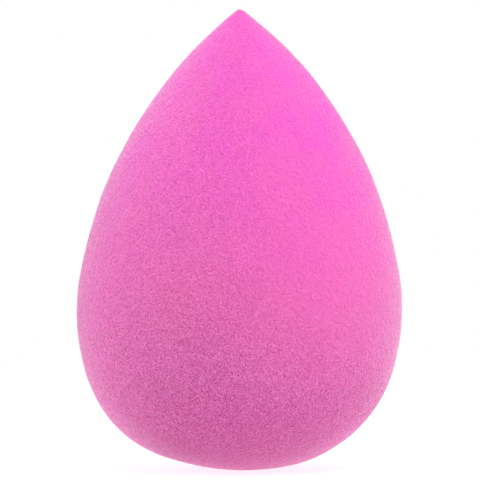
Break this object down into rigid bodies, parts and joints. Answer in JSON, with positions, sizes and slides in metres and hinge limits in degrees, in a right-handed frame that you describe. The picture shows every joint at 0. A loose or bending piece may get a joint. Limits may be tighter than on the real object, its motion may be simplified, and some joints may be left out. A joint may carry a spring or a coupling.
{
  "type": "makeup sponge",
  "caption": "Teardrop makeup sponge of fine soft foam, round in section, with a pointed tip, a full belly and a domed base that stands on a small flat.",
  "frame": {"origin": "middle of the flat resting face under the sponge", "axes": "+Z along the sponge's axis, from the resting face up to the tip; the section is round, so X and Y are alike, and the picture looks along +Y"},
  "size_m": [0.0424, 0.0424, 0.06],
  "materials": {
    "foam": "matte"
  },
  "bodies": {
    "root": {"foam_body": "foam"}
  },
  "joints": []
}
